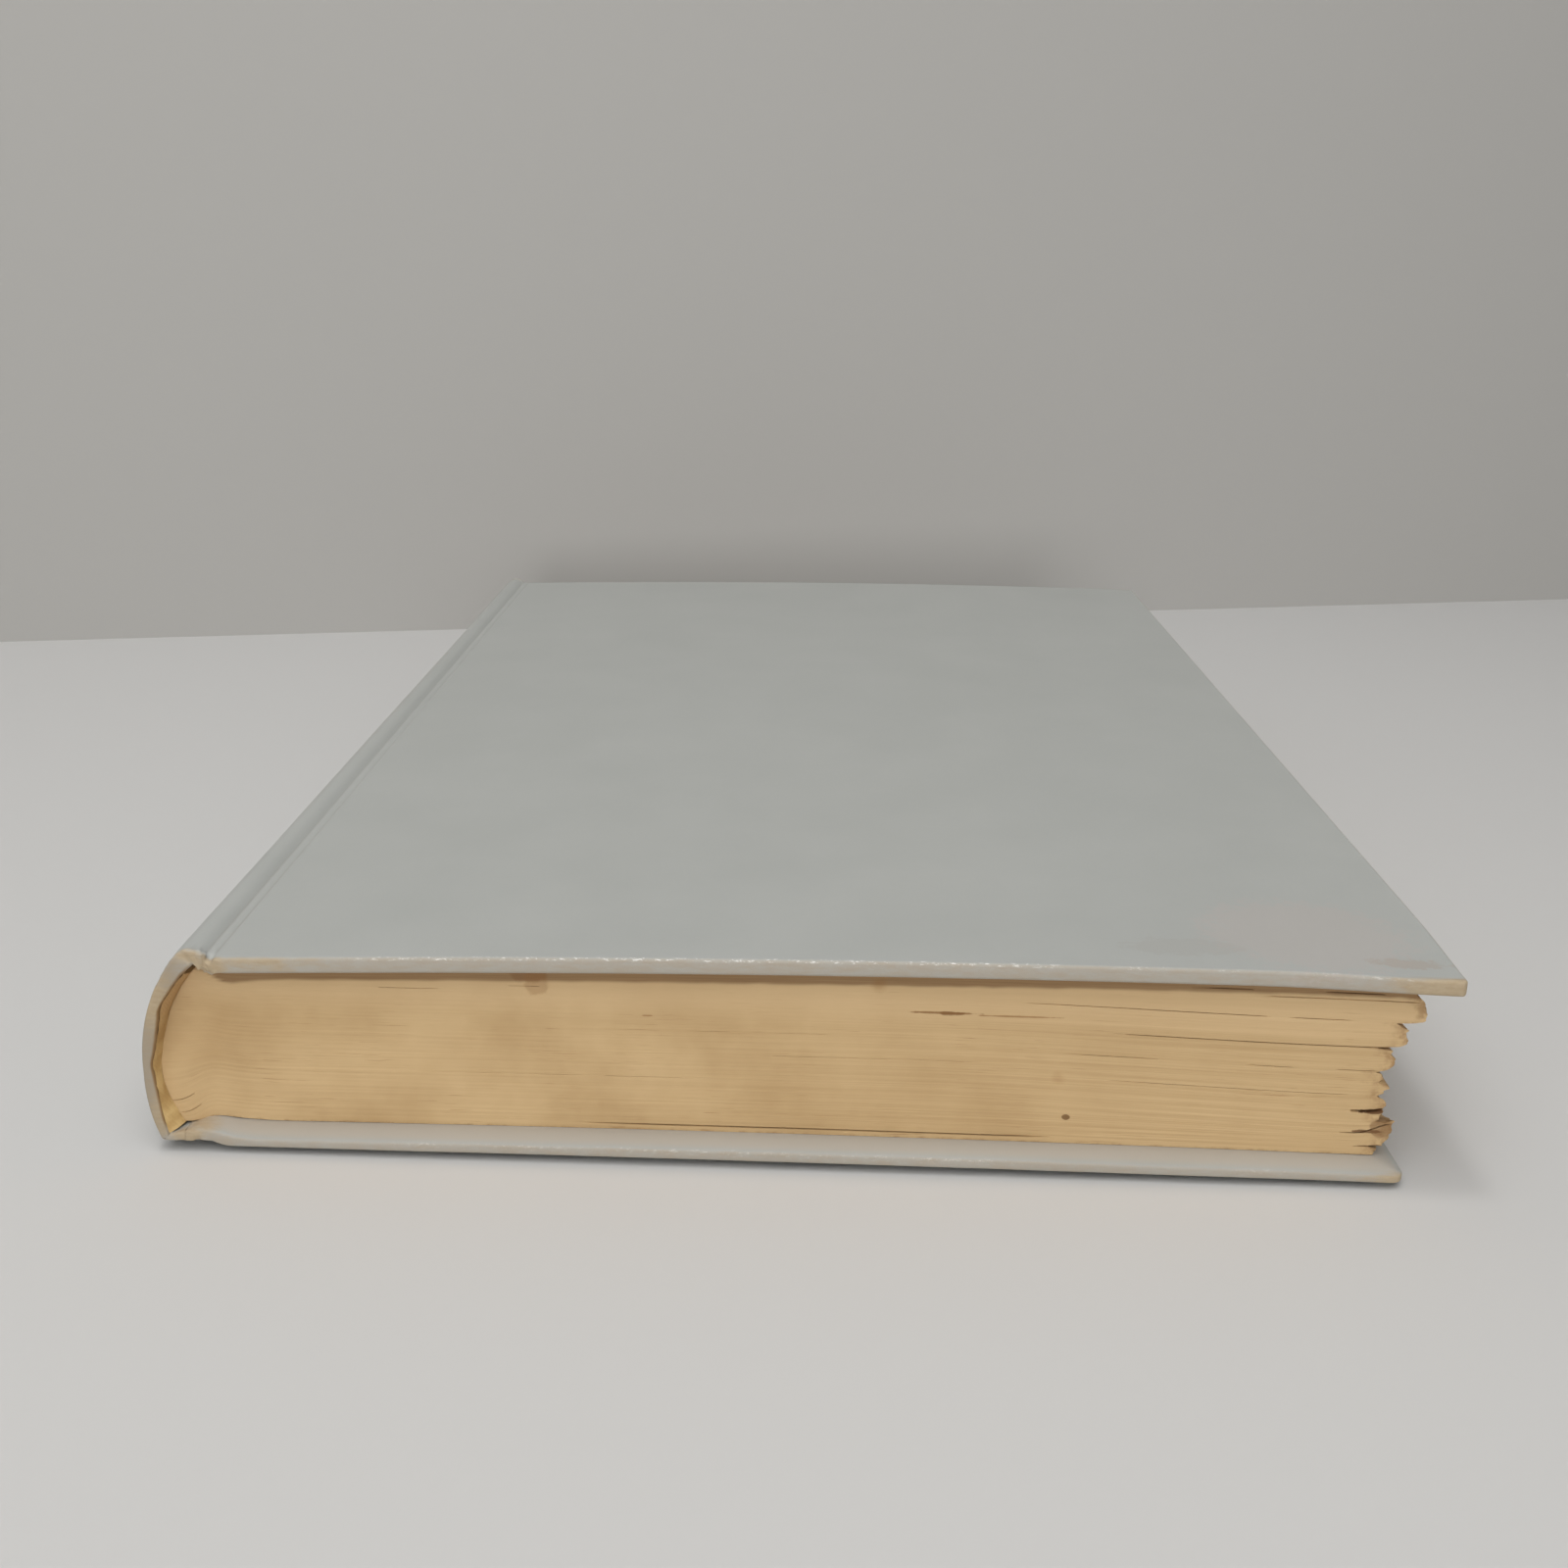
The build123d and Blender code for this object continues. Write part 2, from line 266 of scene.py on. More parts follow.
# Places rubbed down to the paper's core: section X, Y, Z, the three half-widths and the strength
rubbed_places = (
    (-3.4, -case_tail, 26.0, 2.6, 1.5, 1.5, 0.9), (-0.8, -case_tail, 24.9, 3.6, 1.3, 2.2, 1.0),
    (5.0, -case_tail, 25.4, 13.0, 0.9, 1.6, 0.62), (149.5, -case_tail, 26.6, 12.0, 1.6, 3.2, 1.0),
    (147.0, -case_tail, 0.6, 8.0, 2.0, 1.8, 0.9), (-5.2, -case_tail, 1.8, 3.4, 2.0, 1.6, 0.95),
    (-3.4, -115.5, 2.3, 3.4, 3.2, 1.4, 0.9), (-8.6, -case_tail, 4.5, 2.0, 1.3, 5.5, 0.6),
    (-8.0, -case_tail, 20.0, 4.0, 1.2, 7.0, 0.75),
    (-3.2, case_tail, 26.2, 3.0, 1.6, 1.8, 0.8), (-0.6, case_tail, 24.6, 3.0, 1.4, 2.0, 0.8),
    (150.0, case_tail, 26.6, 8.0, 2.0, 3.0, 0.8), (146.5, case_tail, 0.4, 8.0, 2.4, 2.4, 0.9),
    (-5.2, case_tail, 1.8, 3.0, 2.0, 1.8, 0.85), (-4.6, 0.0, 26.2, 3.0, 140.0, 1.6, 0.22),
)

# Working limits
lattice_cells = 32
path_fineness = 40
flat_tolerance = 1e-4
smooth_angle = math.radians(38)
sharp_angle = math.radians(60)


def ease(low, high, value):
    """Soft change from 0 to 1 between two values."""
    share = np.clip((np.asarray(value, float) - low) / (high - low), 0.0, 1.0)
    return share * share * (3 - 2 * share)


def swell(points, size, seed):
    """Smooth noise from -1 to 1 over points in mm, with bumps of one size."""
    lattice = np.random.default_rng(seed).uniform(-1.0, 1.0, (lattice_cells,) * 3)
    place = np.asarray(points, float) / size
    cell = np.floor(place).astype(int)
    part = place - cell
    part = part * part * (3 - 2 * part)
    total = np.zeros(len(place))
    for corner in np.ndindex(2, 2, 2):
        weight = np.prod(np.abs(1 - np.array(corner) - part), axis=1)
        index = (cell + corner) % lattice_cells
        total += weight * lattice[index[:, 0], index[:, 1], index[:, 2]]
    return total


def join(*columns):
    """Columns of numbers side by side."""
    return np.column_stack(np.broadcast_arrays(*columns))


def hump(value, middle, width):
    """Soft rise to 1 about a middle."""
    return np.exp(-(((value - middle) / width) ** 2))


def run_along(path):
    """Length of a path up to each of its points."""
    return np.concatenate([[0], np.cumsum(np.linalg.norm(np.diff(path, axis=0), axis=1))])


def on_path(reach, run, path):
    """Points of a path at given lengths along it."""
    return join(*(np.interp(reach, run, path[:, k]) for k in (0, 1)))


def smooth_path(knots, count):
    """Evenly spaced points of a smooth line through knots."""
    knots = np.asarray(knots, float)
    padded = np.vstack([2 * knots[0] - knots[1], knots, 2 * knots[-1] - knots[-2]])
    step = np.linspace(0, len(knots) - 1, path_fineness * len(knots))
    cell = np.minimum(step.astype(int), len(knots) - 2)
    t = (step - cell)[:, None]
    a, b, c, d = (padded[cell + k] for k in range(4))
    line = 0.5 * (2 * b + (c - a) * t + (2 * a - 5 * b + 4 * c - d) * t**2 + (3 * b - a - 3 * c + d) * t**3)
    length = run_along(line)
    return on_path(np.linspace(0, length[-1], count), length, line)


def along(table, value):
    """Second column of a table at a value of its first."""
    table = np.asarray(table, float)
    return np.interp(value, table[:, 0], table[:, 1])


def arc_points(radius, angles):
    """Points of the section on an arc about the spine's centre."""
    turn = np.radians(angles)
    return join(spine_centre[0] - radius * np.cos(turn), spine_centre[1] + radius * np.sin(turn))


def read_points(piece):
    """A mesh's points as an array."""
    points = np.zeros(len(piece.data.vertices) * 3)
    piece.data.vertices.foreach_get("co", points)
    return points.reshape(-1, 3)


def write_points(piece, points):
    """Put a mesh's points back."""
    piece.data.vertices.foreach_set("co", np.asarray(points, float).ravel())
    piece.data.update()


def flat_sheet(name, columns, rows):
    """Flat sheet of quads with its lines at given places."""
    columns, rows = np.asarray(columns, float), np.asarray(rows, float)
    bpy.ops.object.select_all(action="DESELECT")
    bpy.ops.mesh.primitive_grid_add(x_subdivisions=len(columns) - 1, y_subdivisions=len(rows) - 1, size=1)
    sheet = bpy.context.object
    sheet.name = name
    sheet.data.name = name
    points = read_points(sheet)
    column = np.rint((points[:, 0] + 0.5) * (len(columns) - 1)).astype(int)
    row = np.rint((points[:, 1] + 0.5) * (len(rows) - 1)).astype(int)
    points[:, 0] = columns[column]
    points[:, 1] = rows[row]
    write_points(sheet, points)
    return sheet


def open_mesh():
    """Edit the active mesh with all of it chosen."""
    bpy.ops.object.mode_set(mode="EDIT")
    bpy.ops.mesh.select_all(action="SELECT")


def close_mesh():
    """Leave editing, with the normals outwards."""
    bpy.ops.mesh.select_all(action="SELECT")
    bpy.ops.mesh.normals_make_consistent(inside=False)
    bpy.ops.object.mode_set(mode="OBJECT")


def thicken(steps):
    """Extrude the active flat sheet into a slab, step by step."""
    open_mesh()
    for step in steps:
        bpy.ops.mesh.extrude_region_move(TRANSFORM_OT_translate={"value": (0, 0, step)})
    close_mesh()


def round_rims(piece, size, segments):
    """Bevel the sharp rims of a slab, apart from the end that meets the next piece."""
    bpy.ops.object.mode_set(mode="EDIT")
    bpy.ops.mesh.select_mode(type="EDGE")
    bpy.ops.mesh.select_all(action="DESELECT")
    bpy.ops.mesh.edges_select_sharp(sharpness=sharp_angle)
    bpy.ops.object.mode_set(mode="OBJECT")
    mesh = piece.data
    at_seam = read_points(piece)[:, 0] < flat_tolerance
    chosen = np.zeros(len(mesh.edges), bool)
    mesh.edges.foreach_get("select", chosen)
    ends = np.zeros(len(mesh.edges) * 2, int)
    mesh.edges.foreach_get("vertices", ends)
    chosen &= ~at_seam[ends.reshape(-1, 2)].all(axis=1)
    mesh.vertices.foreach_set("select", np.zeros(len(mesh.vertices), bool))
    mesh.polygons.foreach_set("select", np.zeros(len(mesh.polygons), bool))
    mesh.edges.foreach_set("select", chosen)
    bpy.ops.object.mode_set(mode="EDIT")
    bpy.ops.mesh.bevel(offset=size, segments=segments, affect="EDGES", profile=0.5)
    bpy.ops.mesh.select_mode(type="VERT")
    bpy.ops.object.mode_set(mode="OBJECT")


def round_corner(points, end, half, radius):
    """Pull the corners at one end of a flat slab in to a rounded plan."""
    u = np.clip((points[:, 0] - (end - radius)) / radius, 0, 1)
    v = np.clip((np.abs(points[:, 1]) - (half - radius)) / radius, 0, 1)
    both = (u > 0) & (v > 0)
    points[both, 0] = end - radius + radius * (u * np.sqrt(1 - v**2 / 2))[both]
    side = np.sign(points[both, 1])
    points[both, 1] = side * (half - radius + radius * (v * np.sqrt(1 - u**2 / 2))[both])
    return points


def give_attribute(piece, name, values):
    """Store one number a point for a material to read."""
    layer = piece.data.attributes.new(name, "FLOAT", "POINT")
    layer.data.foreach_set("value", np.asarray(values, np.float32))


def place(piece, points):
    """Put a finished piece in metres in the book's frame."""
    placed = np.asarray(points, float).copy()
    placed[:, 0] -= middle_x
    write_points(piece, placed * millimetre)
    bpy.ops.object.select_all(action="DESELECT")
    piece.select_set(True)
    bpy.context.view_layer.objects.active = piece
    open_mesh()
    close_mesh()
    bpy.ops.object.shade_smooth_by_angle(angle=smooth_angle)


def spread_rows(half, steps, near):
    """Places along Y, close together at both ends."""
    inner = half - near[-1]
    middle = np.linspace(-inner, inner, steps)
    ends = half - np.array(near[:-1])
    return np.concatenate([-ends, middle, ends[::-1]])


def arch(reach):
    """Rise of the bowed front board above its chord."""
    bend = (front_width**2 / 4 + front_bow**2) / (2 * front_bow)
    return front_bow - bend + np.sqrt(bend**2 - (reach - front_width / 2) ** 2)


def front_plane(reach, level):
    """Section points of the front board at a reach and a level under its outer face."""
    rise = arch(reach) + level
    x = reach * math.cos(front_tilt) - rise * math.sin(front_tilt)
    z = front_level + reach * math.sin(front_tilt) + rise * math.cos(front_tilt)
    return join(x, z)


def keep_in_box(points):
    """Hold section points inside the solids' box."""
    return np.clip(points, *(np.array(corner) / millimetre + (middle_x, 0, 0) for corner in (cad_low, cad_high)))


def rubbed(points):
    """How far each point is worn, by the nearest rubbed place."""
    worn = np.zeros(len(points))
    for x, y, z, wide, deep, tall, strength in rubbed_places:
        gap = np.linalg.norm((points - (x, y, z)) / (wide, deep, tall), axis=1)
        worn = np.maximum(worn, strength * ease(1.15, 0.1, gap))
    return worn


def drooped(points):
    """Front cover's points with its tail corner at the fore-edge bent down a little."""
    reach = ease(front_width - corner_droop_width, front_width, points[:, 0])
    tail = ease(corner_droop_depth - case_tail, -case_tail, points[:, 1])
    points[:, 2] -= corner_droop * reach * tail
    return points


def bowed(reach, bow):
    """Rise of the back board between its joint and its fore-edge."""
    return bow * np.clip(1 - (2 * np.asarray(reach) / back_reach - 1) ** 2, 0, 1)


def case_piece(name, outer, inner, mouth_outer, mouth_inner, knots, style, seed):
    """A cover of the case: a flat slab with rounded rims, wrapped to its section."""
    rim_round, corner_round, soft_drop, is_front = style
    run = run_along(outer)
    slab = flat_sheet(name, run, spread_rows(case_tail, case_rows, case_row_steps))
    thicken([-cover_thickness])
    round_rims(slab, rim_round, rim_segments)
    flat = read_points(slab)
    to_rim = np.minimum(case_tail - np.abs(flat[:, 1]), run[-1] - flat[:, 0])
    flat = round_corner(flat, run[-1], case_tail, corner_round)
    depth = np.clip(-flat[:, 2] / cover_thickness, 0, 1)
    mouth = ease(mouth_depth, mouth_full, case_tail - np.abs(flat[:, 1]))
    skin, wall, end_skin, end_wall = (
        on_path(flat[:, 0], run, line) for line in (outer, inner, mouth_outer, mouth_inner)
    )
    wall = wall + (end_wall - wall) * mouth[:, None]
    skin = skin + (end_skin - skin) * np.where(flat[:, 1] < 0, mouth, head_mouth_share * mouth)[:, None]
    section = skin + (wall - skin) * depth[:, None]
    points = join(section[:, 0], flat[:, 1], section[:, 1])
    softer = ease(*strip_soft, points[:, 0])
    points[:, 2] -= softer * soft_drop * depth * np.clip(1 - to_rim / back_soft_width, 0, 1) ** back_soft_power
    if not is_front:
        points[:, 2] += softer * back_rim_lift * (1 - depth) * np.clip(1 - to_rim / back_lift_width, 0, 1) ** 2
    to_end = case_tail - np.abs(points[:, 1])
    for knot_x, knot_width, knot_reach, knot_height in knots:
        near = hump(points[:, 0], knot_x, knot_width) * ease(knot_reach, 0.0, to_end)
        for axis, size in knot_sizes:
            fold = swell(points, size, seed + axis)
            fold = fold + knot_fineness * swell(points, size * knot_finer, seed + axis + 8)
            points[:, axis] += knot_height * near * fold
    on_face = (1 - depth) * ease(0.3, 2.0, to_rim)
    waves = face_wave * swell(points, face_wave_size, seed + 3)
    points[:, 2] += on_face * (waves + face_ripple * swell(points, face_ripple_size, seed + 4))
    rim = np.exp(-np.maximum(to_rim, 0) / rim_round)
    inward = -np.sign(points[:, 1]) * ease(1.5, 0.0, to_end)
    off_seam = ease(0.0, 2.0, np.abs(points[:, 0] - strip_soft[0]))
    points[:, 1] += inward * rim_wave * (1 + off_seam * swell(points, rim_wave_size, seed + 5))
    if is_front:
        points = drooped(points)
    points = keep_in_box(points)

    # Where the finish is dulled, worn or glued, and where painted shade, painted light and painted glints go
    x, y, z = points.T
    upper = depth if is_front else 1 - depth
    # Back cover's turn-in margin, where painted light goes
    margin = ease(5.0, 3.2, to_rim) * ease(0.0, 1.4, to_rim) * ease(0.2, 0.7, depth)
    # Upper rim of each cover, where the painted glints go
    lip = ease(0.22, 0.08, upper) * ease(1.4 * rim_round, 0.3 * rim_round, to_rim)
    spine_inside = ease(-3.2, -3.8, x) * ease(2.6, 3.4, z)
    # Painted shade along the two fold lines of the front joint's groove
    crease = np.clip(sum(hump(x, line, crease_width) for line in joint_creases), 0, 1)
    fading = 0.35 + 0.65 * ease(-30.0, -case_tail, y)
    masks = {
        "rim": rim,
        "margin": margin * (not is_front),
        "grime": rim * ease(-3.5, -6.0, x) * ease(1.2, 2.6, z),
        "lip": lip if is_front else back_glint * lip,
        "rub": rubbed(points),
        "glue": ease(0.8, 0.97, depth) * spine_inside * is_front,
        "crease": crease * fading * ease(0.2, 0.05, depth) * is_front,
    }
    for label, values in masks.items():
        give_attribute(slab, label, values)
    place(slab, points)
    return slab


def sheet_piece(name, path, rows, side, margin_reach, bend=None):
    """A thin sheet of paper laid along a section path, raised over the turn-ins when it has a margin."""
    run = run_along(path)
    sheet = flat_sheet(name, run, rows)
    thicken([-paper_thickness])
    flat = read_points(sheet)
    way = np.gradient(path, run, axis=0)
    way /= np.linalg.norm(way, axis=1)[:, None]
    normal = join(-way[:, 1], way[:, 0]) * side
    lift = paper_gap - flat[:, 2]
    if margin_reach:
        inside = np.minimum(run[-1] - flat[:, 0], rows[-1] - np.abs(flat[:, 1]))
        lift = lift + turn_in_step * ease(margin_reach + turn_in_soft, margin_reach - turn_in_soft, inside)
    section = on_path(flat[:, 0], run, path) + lift[:, None] * on_path(flat[:, 0], run, normal)
    points = join(section[:, 0], flat[:, 1], section[:, 1])
    place(sheet, bend(points) if bend else points)
    return sheet


def leaf_block(name):
    """The leaves as one block, with gatherings at the fore-edge and gaps at both ends."""
    gap_rows = [g[0] + k * gap_share * g[4] for g in leaf_gaps for k in (-1, 0, 1)]
    rows = np.unique(np.round(np.concatenate([np.linspace(0, 1, leaf_rows), gap_rows]), 5))
    rows = rows[(rows >= 0) & (rows <= 1)]
    keep = [0]
    for i in range(1, len(rows)):
        if rows[i] - rows[keep[-1]] > least_row or np.round(rows[i], 5) in np.round(gap_rows, 5):
            keep.append(i)
    reach = np.concatenate([
        leaf_reach_steps, np.linspace(14.5, 130.0, 62), np.linspace(131.0, 146.0, 26), np.linspace(146.5, 150.0, 12),
    ])
    block = flat_sheet(name, reach / reach[-1], rows[keep])
    thicken(np.diff(spread_rows(leaf_tail, leaf_depth_rows, leaf_depth_steps)))
    flat = read_points(block)
    across, share, y = flat[:, 0], flat[:, 1], flat[:, 2] - leaf_tail
    to_end = leaf_tail - np.abs(y)

    # Rounded spine, where the leaves fan out from the foot
    fan = share * (1 - leaf_fan * hump(share, 0, leaf_fan_share))
    angle = leaf_low_angle + (leaf_high_angle - leaf_low_angle) * fan
    start = arc_points(along(leaf_spine, angle), angle)

    # Hollow fore-edge, with one hump a gathering and torn corners
    droop = leaf_droop * ease(0, 0.3, share) * ease(0, 0.13, 1 - share)
    end_share = share - droop
    tail_only = ease(fore_tail_depth, 0.0, y + leaf_tail)
    plain = along(fore_plain, end_share)
    end = plain + (along(fore_edge, end_share) - plain) * (fore_keep + (1 - fore_keep) * tail_only)
    end = end + (1 - tail_only) * fore_wander * swell(join(np.floor(end_share * 7) * 9.0, y, 0), 26.0, 11)
    leaf_height = share * (leaf_top[-1][1] - leaf_bottom[-1][1])
    fray = swell(join(leaf_height, y * 0.5, 0), 0.5, 12)
    tear = swell(join(leaf_height, y * 0.7, 0), 0.8, 17)
    nick = swell(join(leaf_height, y, 0), 0.29, 19)
    ragged = fore_fray * fray + fore_nick * nick - fore_tear * ease(0.35, 0.85, tear)
    ragged = ragged * ease(0.0, 0.02, share) * ease(1.0, 0.99, share)
    end = end + ragged * ease(6.0, 1.5, to_end)

    # Stack of leaves between the two
    x = start[:, 0] + (end - start[:, 0]) * across
    low, high = along(leaf_bottom, x), along(leaf_top, x)
    stack_share = share - droop * ease(leaf_droop_start, leaf_droop_start + leaf_droop_run, x)
    stack = low + (high - low) * stack_share
    turn = leaf_turn[0] + (leaf_turn[1] - leaf_turn[0]) * ease(0.1, 0.4, share)
    z = start[:, 1] + (stack - start[:, 1]) * ease(0.0, 1.0, (x - start[:, 0]) / turn)
    z = z + along(top_swell, x) * ease(top_swell_share, 1.0, share)
    under_top = high + along(top_swell, x) - z
    near_tail = ease(curl_depth, 0.0, y + leaf_tail)
    for curl, spread, first, last, rise in leaf_curls:
        z = z + rise * near_tail * hump(share, curl, spread) * ease(first, last, x)
    lip = ease(0.75, 0.35, to_end) * ease(0.025, 0.0, share)
    z = z - foot_lip * lip * ease(-5.0, -3.5, x)
    points = join(x, y, z)

    # Ripples and gaps in the two ends
    ends = np.abs(to_end) < flat_tolerance
    edge = ease(0.0, 0.01, 1 - across) * ease(0, 0.004, across)
    push = leaf_ripple * (1 + swell(join(x * 0.12, share * 260.0, y), 2.0, 13))
    push = push + leaf_ripple * (1 + swell(join(x, z * 2.0, y), 24.0, 14))
    for gap, first, last, depth, opening in leaf_gaps:
        on_gap = np.abs(share - gap) < gap_share * opening * 0.5
        run = ease(first, first + 0.25 * (last - first), x) * ease(last, last - 0.12 * (last - first), x)
        whole = 0.4 + 0.7 * ease(0.9, 1.3, depth)
        broken = np.clip(whole + 0.9 * swell(points, 3.5, 15 + int(gap * 100)), 0, 1)
        push = push + np.where(on_gap, depth * run * broken * (0.25 + 0.75 * edge), 0.0)
    sag = leaf_sag * ease(*leaf_sag_angles, angle) * ease(leaf_sag_width, 0.0, x - start[:, 0])
    points[:, 1] += np.where(ends, -np.sign(y) * push, 0.0) - sag * near_tail
    # Painted shadow of the front cover's overhang: a dark band down from the top of the leaves near both ends
    edge_noise = 0.3 * shadow_edge * swell(join(x, y, 0), 1.6, 18)
    painted_shadow = ease(shadow_edge, -shadow_edge, under_top - along(shadow_reach, x) + edge_noise)
    give_attribute(block, "overhang_shadow", painted_shadow * ease(shadow_depth, 0.2, to_end))
    give_attribute(block, "leaf", share)
    give_attribute(block, "spread", across)
    place(block, points)
    return block


def band_piece(name, end):
    """Band of cloth round one end of the leaves' spine."""
    angles = np.linspace(band_low_angle, band_high_angle, band_stations)
    loop = np.array(band_section + band_section[:1])
    band = flat_sheet(name, np.arange(band_stations), np.arange(len(loop)))
    flat = read_points(band)
    angle = angles[np.rint(flat[:, 0]).astype(int)]
    ring = loop[np.rint(flat[:, 1]).astype(int)]
    near = along(leaf_spine, angle)
    far = np.maximum(along(spine_mouth, angle), near + band_least)
    section = arc_points(near + (far - near) * ring[:, 0], angle)
    longer = band_foot_reach * ease(10.0, -6.0, angle) * ease(0.0, 0.8, ring[:, 0])
    points = join(section[:, 0], end * (ring[:, 1] + longer), section[:, 1])
    points += band_fuzz * join(*(swell(points, size, seed) for size, seed in ((1.1, 21), (0.9, 22), (1.2, 23))))
    write_points(band, points)
    open_mesh()
    bpy.ops.mesh.remove_doubles(threshold=flat_tolerance)
    bpy.ops.mesh.select_all(action="SELECT")
    bpy.ops.mesh.fill_holes(sides=0)
    close_mesh()
    place(band, read_points(band))
    return band


# Materials
def paint(red, green, blue):
    """Colour from its screen values of 0 to 255."""
    light = [c / 255 for c in (red, green, blue)]
    return tuple(c / 12.92 if c <= 0.04045 else ((c + 0.055) / 1.055) ** 2.4 for c in light) + (1.0,)


def node(tree, kind, options=None, **sockets):
    """Add a shader node, set its options, and set or link its sockets by name or by number."""
    made = tree.nodes.new("ShaderNode" + kind)
    for key, value in (options or {}).items():
        setattr(made, key, value)
    for key, value in sockets.items():
        socket = made.inputs[int(key[1:])] if key[1:].isdigit() else made.inputs[key.replace("_", " ")]
        if isinstance(value, bpy.types.NodeSocket):
            tree.links.new(value, socket)
        else:
            socket.default_value = value
    return made


def figure(tree, operation, first, second=0.0):
    """Result of a math node."""
    return node(tree, "Math", {"operation": operation}, _0=first, _1=second).outputs[0]


def times(tree, first, second):
    """Product of two values."""
    return figure(tree, "MULTIPLY", first, second)


def plus(tree, first, second):
    """Sum of two values."""
    return figure(tree, "ADD", first, second)


def ramp(tree, value, low, high):
    """Soft mask from a value between two limits."""
    options = {"interpolation_type": "SMOOTHSTEP"}
    return node(tree, "MapRange", options, Value=value, From_Min=low, From_Max=high).outputs[0]


def blend_colour(tree, factor, first, second):
    """One colour laid over another by a mask."""
    return node(tree, "Mix", {"data_type": "RGBA"}, _0=factor, _6=first, _7=second).outputs[2]


def stained(tree, mask, strength, colour, stain):
    """A colour with a stain of screen values over it, by a mask of some strength."""
    return blend_colour(tree, times(tree, mask, strength), colour, paint(*stain))


def attribute(tree, name):
    """A number stored on the piece's points."""
    return node(tree, "Attribute", {"attribute_name": name}).outputs["Fac"]


def noise(tree, vector, scale, detail=3.0, roughness=0.55):
    """Noise value between 0 and 1."""
    return node(tree, "TexNoise", Vector=vector, Scale=scale, Detail=detail, Roughness=roughness).outputs[0]


def finish_material(name, roughness, specular):
    """Empty material with its shader in place, and the place on the piece in metres."""
    material = bpy.data.materials.new(name)
    material.use_nodes = True
    tree = material.node_tree
    tree.nodes.clear()
    shader = node(tree, "BsdfPrincipled", Roughness=roughness, Specular_IOR_Level=specular)
    tree.links.new(shader.outputs[0], tree.nodes.new("ShaderNodeOutputMaterial").inputs["Surface"])
    return material, tree, shader, node(tree, "TexCoord").outputs["Object"]


def dress(tree, shader, colour, height, distance, strength):
    """Give a shader its colour and its relief."""
    tree.links.new(colour, shader.inputs["Base Color"])
    relief = node(tree, "Bump", Height=height, Distance=distance, Strength=strength)
    tree.links.new(relief.outputs[0], shader.inputs["Normal"])


def new_group(name, inputs, outputs):
    """Shader node group with named sockets."""
    group = bpy.data.node_groups.new(name, "ShaderNodeTree")
    for label, kind, value in inputs:
        socket = group.interface.new_socket(name=label, in_out="INPUT", socket_type="NodeSocket" + kind)
        if value is not None:
            socket.default_value = value
    for label in outputs:
        group.interface.new_socket(name=label, in_out="OUTPUT", socket_type="NodeSocketFloat")
    entry = group.nodes.new("NodeGroupInput").outputs
    leave = group.nodes.new("NodeGroupOutput").inputs
    return group, entry, leave


def grain_group():
    """Tone and relief of a paper surface."""
    sockets = [("Vector", "Vector", None), ("Scale", "Float", 4000.0)]
    group, entry, leave = new_group("paper_grain", sockets, ["Tone", "Height"])
    vector, scale = entry["Vector"], entry["Scale"]
    fine = noise(group, vector, scale, 3.0)
    broad = noise(group, vector, times(group, scale, 0.012), 4.0)
    hair = noise(group, vector, times(group, scale, 0.22), 2.0)
    tone = plus(group, times(group, fine, 0.35), times(group, broad, 0.65))
    height = plus(group, times(group, fine, 0.6), times(group, hair, 0.4))
    group.links.new(tone, leave["Tone"])
    group.links.new(height, leave["Height"])
    return group


def age_group():
    """Scattered brown age marks."""
    sockets = [("Vector", "Vector", None), ("Scale", "Float", 90.0), ("Amount", "Float", 0.2)]
    group, entry, leave = new_group("age_spots", sockets, ["Mask"])
    vector, scale = entry["Vector"], entry["Scale"]
    cells = node(group, "TexVoronoi", Vector=vector, Scale=scale)
    size = noise(group, vector, times(group, scale, 0.35), 2.0)
    spot = figure(group, "SUBTRACT", times(group, size, entry["Amount"]), cells.outputs["Distance"])
    ragged = times(group, noise(group, vector, times(group, scale, 9.0)), 0.06)
    group.links.new(ramp(group, figure(group, "SUBTRACT", spot, ragged), -0.02, 0.06), leave["Mask"])
    return group


def weave_group():
    """Crossing threads of a woven strip."""
    sockets = [("Vector", "Vector", None), ("Scale", "Float", 1400.0)]
    group, entry, leave = new_group("thread_weave", sockets, ["Height"])
    vector, scale = entry["Vector"], entry["Scale"]
    scaled = node(group, "VectorMath", {"operation": "SCALE"}, _0=vector, Scale=scale)
    split = node(group, "SeparateXYZ", _0=scaled.outputs[0]).outputs
    across = figure(group, "SINE", times(group, split["Y"], 6.28))
    lengthwise = figure(group, "SINE", times(group, plus(group, split["X"], split["Z"]), 6.28))
    group.links.new(ramp(group, times(group, across, lengthwise), -1.0, 1.0), leave["Height"])
    return group


def mark_group():
    """One soft mark of a given place and size, in metres."""
    sockets = [(label, "Vector", None) for label in ("Vector", "Centre", "Size")] + [("Ragged", "Float", 0.4)]
    group, entry, leave = new_group("single_mark", sockets, ["Mask"])
    vector = entry["Vector"]
    away = node(group, "VectorMath", {"operation": "SUBTRACT"}, _0=vector, _1=entry["Centre"]).outputs[0]
    share = node(group, "VectorMath", {"operation": "DIVIDE"}, _0=away, _1=entry["Size"]).outputs[0]
    reach = node(group, "VectorMath", {"operation": "LENGTH"}, _0=share).outputs["Value"]
    uneven = figure(group, "SUBTRACT", noise(group, vector, 900.0, 4.0), 0.5)
    reach = plus(group, reach, times(group, uneven, entry["Ragged"]))
    group.links.new(ramp(group, reach, 1.0, 0.72), leave["Mask"])
    return group


paper_grain = grain_group()
age_spots = age_group()
thread_weave = weave_group()
single_mark = mark_group()


def grained(tree, vector, scale):
    """Tone and height of the paper grain."""
    made = node(tree, "Group", {"node_tree": paper_grain}, Vector=vector, Scale=scale)
    return made.outputs["Tone"], made.outputs["Height"]


